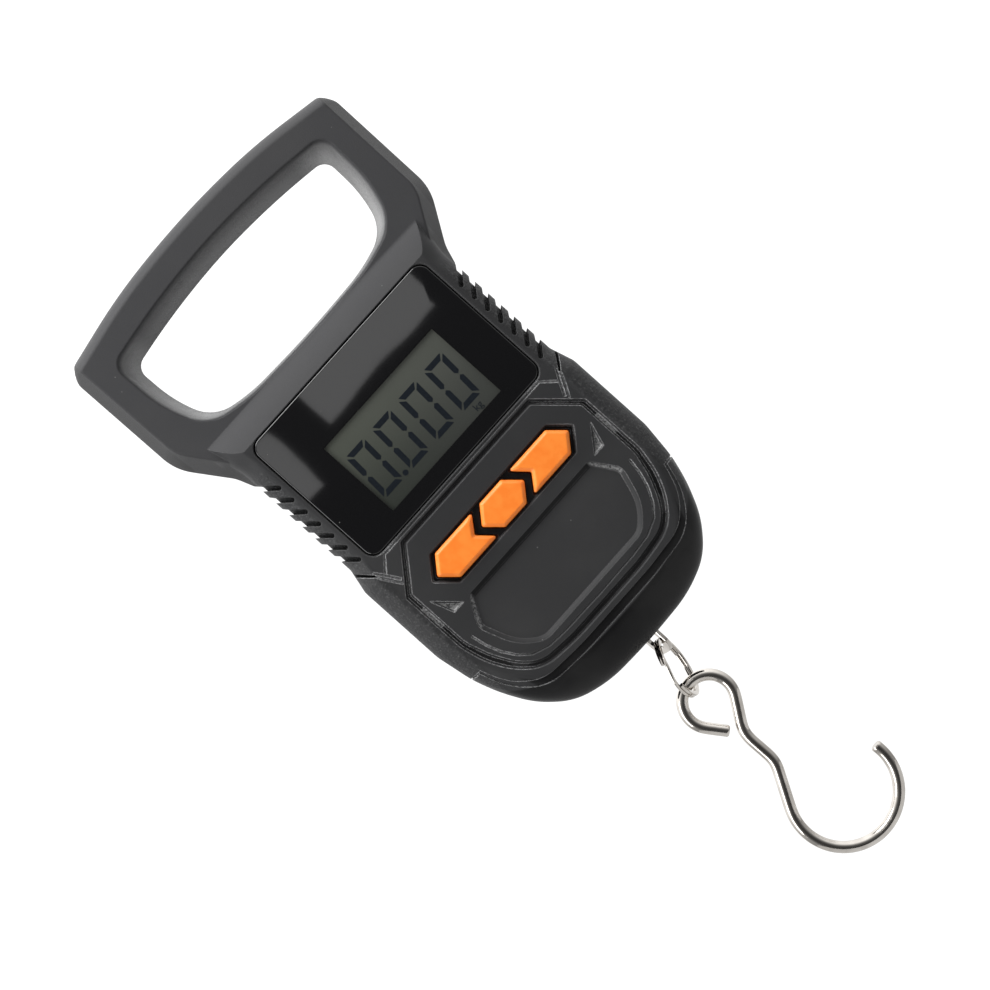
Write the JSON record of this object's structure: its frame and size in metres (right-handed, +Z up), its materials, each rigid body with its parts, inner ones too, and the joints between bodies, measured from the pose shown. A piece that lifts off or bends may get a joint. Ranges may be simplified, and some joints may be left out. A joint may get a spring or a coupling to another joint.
{
  "type": "digital fish scale",
  "caption": "Handheld digital hanging scale with a moulded hand loop, display window and arrow-shaped keys on the face, and a wire hook swinging from a ring below.",
  "frame": {"origin": "on the underside of the hand loop's top bar, where the fingers carry it, at mid width on the plane where the two case halves meet", "axes": "+Z up with the scale hanging from the hand, the display and keys face -Y, +X is to the right for someone reading the display"},
  "size_m": [0.095, 0.0289, 0.2317],
  "materials": {
    "case_plastic": "fine spark-eroded texture, charcoal black",
    "window_gloss": "polished black acrylic, back-printed, clear over the display",
    "display_glass": "grey-green reflective display glass",
    "light_guide": "white diffuser",
    "grey_rubber": "matt silicone",
    "board_laminate": "green solder mask",
    "black_epoxy": "moulded epoxy",
    "orange_key": "satin moulded orange",
    "plunger_plastic": "natural nylon",
    "load_cell_aluminium": "milled",
    "plated_steel": "bright nickel plate",
    "zinc_steel": "zinc plated",
    "contact_steel": "nickel-plated spring steel",
    "cable_jacket": "smooth black jacket",
    "red_jacket": "smooth red jacket",
    "cell_sleeve": "printed plastic sleeve"
  },
  "bodies": {
    "case": {"front_shell": "case_plastic", "back_shell": "case_plastic", "display_window": "window_gloss", "pull_tab": "plated_steel", "lcd_panel": "display_glass", "lcd_backlight": "light_guide", "lcd_connector": "grey_rubber", "circuit_board": "board_laminate", "controller_chip": "black_epoxy", "buzzer": "black_epoxy", "load_cell": "load_cell_aluminium", "strain_gauge": "grey_rubber", "gauge_cable": "cable_jacket", "tab_pin": "zinc_steel", "cell_upper": "cell_sleeve", "cell_lower": "cell_sleeve", "contact_bridge": "contact_steel", "contact_plus": "contact_steel", "contact_minus": "contact_steel", "battery_wire_red": "red_jacket", "battery_wire_black": "cable_jacket", "switch_left": "black_epoxy", "switch_middle": "black_epoxy", "switch_right": "black_epoxy", "case_screw_handle_right": "zinc_steel", "case_screw_waist_right": "zinc_steel", "case_screw_base_right": "zinc_steel", "case_screw_handle_left": "zinc_steel", "case_screw_waist_left": "zinc_steel", "case_screw_base_left": "zinc_steel", "board_screw_upper_right": "zinc_steel", "board_screw_lower_right": "zinc_steel", "board_screw_upper_left": "zinc_steel", "board_screw_lower_left": "zinc_steel", "load_cell_screw_right": "zinc_steel", "load_cell_screw_left": "zinc_steel"},
    "key_left": {"key_left": "orange_key", "plunger_left": "plunger_plastic"},
    "key_middle": {"key_middle": "orange_key", "plunger_middle": "plunger_plastic"},
    "key_right": {"key_right": "orange_key", "plunger_right": "plunger_plastic"},
    "battery_cover": {"battery_cover": "case_plastic"},
    "split_ring": {"split_ring": "plated_steel"},
    "hook": {"hook": "plated_steel"}
  },
  "joints": [
    {"name": "key_left_press", "type": "slide", "parent": "case", "child": "key_left", "axis": [0, 1, 0], "range_m": [0, 0.0004], "stiffness_N_per_m": 1500},
    {"name": "key_middle_press", "type": "slide", "parent": "case", "child": "key_middle", "axis": [0, 1, 0], "range_m": [0, 0.0004], "stiffness_N_per_m": 1500},
    {"name": "key_right_press", "type": "slide", "parent": "case", "child": "key_right", "axis": [0, 1, 0], "range_m": [0, 0.0004], "stiffness_N_per_m": 1500},
    {"name": "battery_cover_hinge", "type": "hinge", "parent": "case", "child": "battery_cover", "pos_m": [0, 0.013, -0.0742], "axis": [-1, 0, 0], "range_deg": [0, 75]},
    {"name": "ring_swing", "type": "hinge", "parent": "case", "child": "split_ring", "pos_m": [0.0007, 0, -0.1445], "axis": [0.9272, 0.3746, 0], "range_deg": [-35, 35]},
    {"name": "hook_swing", "type": "hinge", "parent": "split_ring", "child": "hook", "pos_m": [-0.00239, 0.00112, -0.15996], "axis": [0.342, 0.9397, 0], "range_deg": [-80, 80]}
  ]
}
